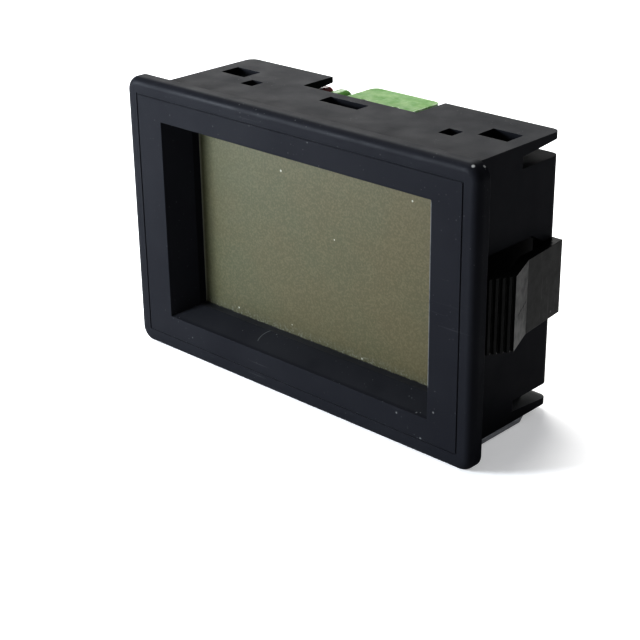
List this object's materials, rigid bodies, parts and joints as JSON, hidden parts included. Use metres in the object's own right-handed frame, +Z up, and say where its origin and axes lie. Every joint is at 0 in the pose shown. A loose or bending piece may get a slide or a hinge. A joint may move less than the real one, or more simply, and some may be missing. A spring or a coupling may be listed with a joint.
{
  "type": "digital panel voltmeter",
  "caption": "Snap-in panel voltmeter with a sunken liquid crystal window, toothed spring clips at its sides and a rear screw terminal.",
  "frame": {"origin": "centre of the panel seat, the rear face of the bezel", "axes": "+X to the right seen from the front, +Y to the rear and into the panel, +Z up"},
  "size_m": [0.0694, 0.0279, 0.044],
  "materials": {
    "case_plastic": "moulded black, fine grain",
    "clip_plastic": "moulded black, smooth",
    "display_film": "grey-olive polarising film, satin",
    "display_glass": "clear polished",
    "sheet_white": "white, diffusing",
    "light_guide_acrylic": "clear polished",
    "lamp_resin": "milky clear",
    "frame_plastic": "moulded white",
    "contact_rubber": "silicone, layered",
    "board_laminate": "green solder mask",
    "terminal_plastic": "moulded green",
    "plated_steel": "bright zinc plate",
    "dip_green": "green dip coat",
    "dip_red": "dark red dip coat",
    "can_sleeve": "black shrink sleeve",
    "epoxy_black": "moulded epoxy",
    "resistor_coat": "blue lacquer with colour rings",
    "trimmer_blue": "moulded blue",
    "trimmer_white": "moulded white"
  },
  "bodies": {
    "case": {"case": "case_plastic", "front_polariser": "display_film", "front_glass": "display_glass", "rear_glass": "display_glass", "rear_polariser": "display_film", "diffuser_sheet": "sheet_white", "light_guide": "light_guide_acrylic", "reflector_sheet": "sheet_white", "backlight_led": "lamp_resin", "display_frame": "frame_plastic", "contact_strip_top": "contact_rubber", "contact_strip_bottom": "contact_rubber", "circuit_board": "board_laminate", "terminal_body": "terminal_plastic", "terminal_contacts": "plated_steel", "green_capacitor": "dip_green", "red_capacitor": "dip_red", "electrolytic_capacitor": "can_sleeve", "controller_chip": "epoxy_black", "resistors": "resistor_coat", "diodes": "epoxy_black", "regulator": "epoxy_black", "trimmer_body": "trimmer_blue"},
    "clip_left": {"clip_left": "clip_plastic"},
    "clip_right": {"clip_right": "clip_plastic"},
    "terminal_screw_1": {"terminal_screw_1": "plated_steel"},
    "terminal_screw_2": {"terminal_screw_2": "plated_steel"},
    "terminal_clamp_1": {"terminal_clamp_1": "plated_steel"},
    "terminal_clamp_2": {"terminal_clamp_2": "plated_steel"},
    "trimmer_rotor": {"trimmer_rotor": "trimmer_white"}
  },
  "joints": [
    {"name": "clip_right_flex", "type": "hinge", "parent": "case", "child": "clip_right", "pos_m": [0.0292, 0.0192, 0], "axis": [0, 0, -1], "range_deg": [0, 12], "stiffness_Nm_per_rad": 0.3},
    {"name": "clip_left_flex", "type": "hinge", "parent": "case", "child": "clip_left", "pos_m": [-0.0292, 0.0192, 0], "axis": [0, 0, 1], "range_deg": [0, 12], "stiffness_Nm_per_rad": 0.3},
    {"name": "screw_1_turn", "type": "hinge", "parent": "case", "child": "terminal_screw_1", "pos_m": [-0.00447, 0.0235, 0.0147], "axis": [0, -1, 0], "range_deg": [0, 1080]},
    {"name": "clamp_1_slide", "type": "slide", "parent": "case", "child": "terminal_clamp_1", "axis": [0, 1, 0], "range_m": [0, 0.0015]},
    {"name": "screw_2_turn", "type": "hinge", "parent": "case", "child": "terminal_screw_2", "pos_m": [0.00187, 0.0235, 0.0147], "axis": [0, -1, 0], "range_deg": [0, 1080]},
    {"name": "clamp_2_slide", "type": "slide", "parent": "case", "child": "terminal_clamp_2", "axis": [0, 1, 0], "range_m": [0, 0.0015]},
    {"name": "trimmer_turn", "type": "hinge", "parent": "case", "child": "trimmer_rotor", "pos_m": [0.0175, 0.0186, -0.007], "axis": [0, -1, 0], "range_deg": [-130, 130]}
  ],
  "couplings": [
    {"joint": "screw_1_turn", "follows": "clamp_1_slide", "rad_per_m": 12566},
    {"joint": "screw_2_turn", "follows": "clamp_2_slide", "rad_per_m": 12566}
  ]
}
